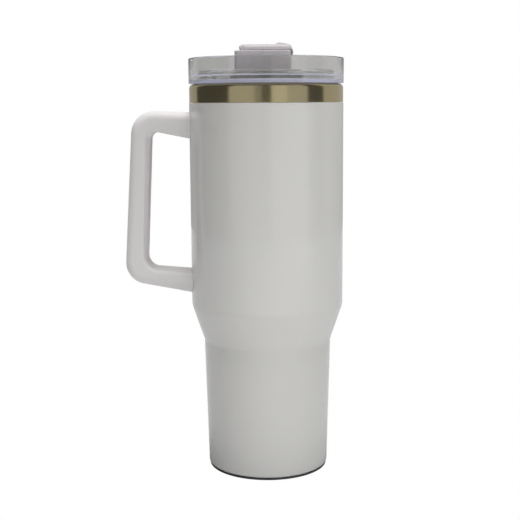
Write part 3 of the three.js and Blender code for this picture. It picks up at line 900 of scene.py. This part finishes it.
def reflected_wall(start, stop, strength):
    """A stretch of the curved wall that only reflections and clear plastic see."""
    radius, foot, top = 1.4, -0.02, 1.8
    degrees_a_step = 5
    steps = max(2, round((stop - start) / degrees_a_step))
    angles = [start + (stop - start) * k / steps for k in range(steps + 1)]
    verts = [around(a, radius, z) for a in angles for z in (foot, top)]
    faces = [(2 * k, 2 * k + 2, 2 * k + 3, 2 * k + 1) for k in range(steps)]
    mesh = bpy.data.meshes.new(f"wall_{start}")
    mesh.from_pydata(verts, [], faces)
    mesh.materials.append(plain(f"wall_{start}", (1, 0.99, 0.97), strength))
    wall = bpy.data.objects.new(f"wall_{start}", mesh)
    bpy.context.scene.collection.objects.link(wall)
    wall.visible_camera = False
    wall.visible_diffuse = False
    wall.visible_shadow = False
    wall.visible_volume_scatter = False


# Azimuths in degrees where a stretch of the wall starts, and its brightness.
WALL = [
    (-180, 0.42), (-123, 0.08), (-56, 0.50), (-17, 0.33), (-7, 0.14), (7, 0.66), (30, 0.50), (62, 0.10),
    (91, 0.48),
]
for i, (start, strength) in enumerate(WALL):
    stop = WALL[i + 1][0] if i + 1 < len(WALL) else 180
    reflected_wall(start, stop, strength)


def studio_floor():
    """A floor that looks white to the camera and reflects a grey's worth of light."""
    mesh = bpy.data.meshes.new("studio_floor")
    reach = 80
    corners = [(-reach, -reach, 0), (reach, -reach, 0), (reach, reach, 0), (-reach, reach, 0)]
    mesh.from_pydata(corners, [], [(0, 1, 2, 3)])
    grey = plain("pale_floor", (0.42, 0.42, 0.42))
    tree = grey.node_tree
    path = tree.nodes.new("ShaderNodeLightPath")
    glow = tree.nodes.new("ShaderNodeEmission")
    glow.inputs["Color"].default_value = (1, 1, 1, 1)
    either = tree.nodes.new("ShaderNodeMixShader")
    tree.links.new(path.outputs["Is Camera Ray"], either.inputs["Fac"])
    tree.links.new(tree.nodes["Principled BSDF"].outputs["BSDF"], either.inputs[1])
    tree.links.new(glow.outputs["Emission"], either.inputs[2])
    tree.links.new(either.outputs["Shader"], tree.nodes["Material Output"].inputs["Surface"])
    mesh.materials.append(grey)
    obj = bpy.data.objects.new("studio_floor", mesh)
    bpy.context.scene.collection.objects.link(obj)


def area_light(name, azimuth, distance, height, size, power, aim=0.15):
    """A rectangle of light in metres and watts, turned to a point on the axis at the height of its aim."""
    data = bpy.data.lights.new(name, "AREA")
    data.shape = "RECTANGLE"
    data.size, data.size_y = size
    data.energy = power
    light = bpy.data.objects.new(name, data)
    light.location = around(azimuth, distance, height)
    light.rotation_euler = (Vector((0, 0, aim)) - light.location).to_track_quat("-Z", "Y").to_euler()
    bpy.context.scene.collection.objects.link(light)
    return light


def sky_light(strength, softness):
    """A soft light from straight above. Its softness is an angle in degrees."""
    data = bpy.data.lights.new("overhead", "SUN")
    data.energy = strength
    data.angle = math.radians(softness)
    light = bpy.data.objects.new("overhead", data)
    bpy.context.scene.collection.objects.link(light)
    return light


def backdrop(ambient, levels):
    """An even grey room, with another brightness for some kinds of ray, such as the camera's."""
    world = bpy.data.worlds.new("room")
    world.use_nodes = True
    tree = world.node_tree
    background = tree.nodes["Background"]
    background.inputs["Color"].default_value = (1, 1, 1, 1)
    path = tree.nodes.new("ShaderNodeLightPath")
    level = ambient
    for ray, brightness in levels:
        mix = tree.nodes.new("ShaderNodeMix")
        mix.inputs["B"].default_value = brightness
        if level is ambient:
            mix.inputs["A"].default_value = ambient
        else:
            tree.links.new(level, mix.inputs["A"])
        tree.links.new(path.outputs[ray], mix.inputs["Factor"])
        level = mix.outputs["Result"]
    tree.links.new(level, background.inputs["Strength"])
    bpy.context.scene.world = world


studio_floor()
backdrop(0.09, [("Is Glossy Ray", 0.05), ("Is Transmission Ray", 0.5), ("Is Camera Ray", 1.0)])
overhead = sky_light(4.4, 34)
key = area_light("key", 50, 1.3, 0.14, (0.7, 0.9), 6.1)
front = area_light("front", 0, 1.4, 0.08, (1.0, 0.7), 2.05)
low_front = area_light("low_front", 0, 0.45, 0.04, (0.6, 0.06), 0.52, 0.04)
side = area_light("side", -80, 1.0, 0.4, (0.5, 0.5), 0.8)
back = area_light("back", 190, 1.4, 0.4, (1.0, 1.0), 3.5)
side.light_linking.receiver_collection = bpy.data.collections.new("lit_from_the_side")
side.light_linking.receiver_collection.objects.link(handle)
for light in (overhead, key, front, low_front, back, side):
    light.visible_camera = False
    light.visible_glossy = False
    light.visible_transmission = False

# ---- Camera -------------------------------------------------------------------------------------------
VIEW_DISTANCE = 0.6857
VIEW_HEIGHT = 0.2425
VIEW_OFFSET = -0.0047
VIEW_PITCH = 8.6  # degrees below the horizontal
VIEW_ROLL = -0.37  # degrees
BOUNCES = 20  # enough for light to pass through every wall of the clear lid

camera_data = bpy.data.cameras.new("camera")
camera_data.lens = 72
camera_data.sensor_width = 36
camera = bpy.data.objects.new("camera", camera_data)
camera.location = (VIEW_OFFSET, -VIEW_DISTANCE, VIEW_HEIGHT)
camera.rotation_euler = (
    Matrix.Rotation(math.radians(90 - VIEW_PITCH), 3, "X") @ Matrix.Rotation(math.radians(VIEW_ROLL), 3, "Z")
).to_euler()
bpy.context.scene.collection.objects.link(camera)
bpy.context.scene.camera = camera

scene = bpy.context.scene
scene.view_settings.view_transform = "Standard"
scene.cycles.max_bounces = BOUNCES
scene.cycles.transmission_bounces = BOUNCES
scene.cycles.use_denoising = True
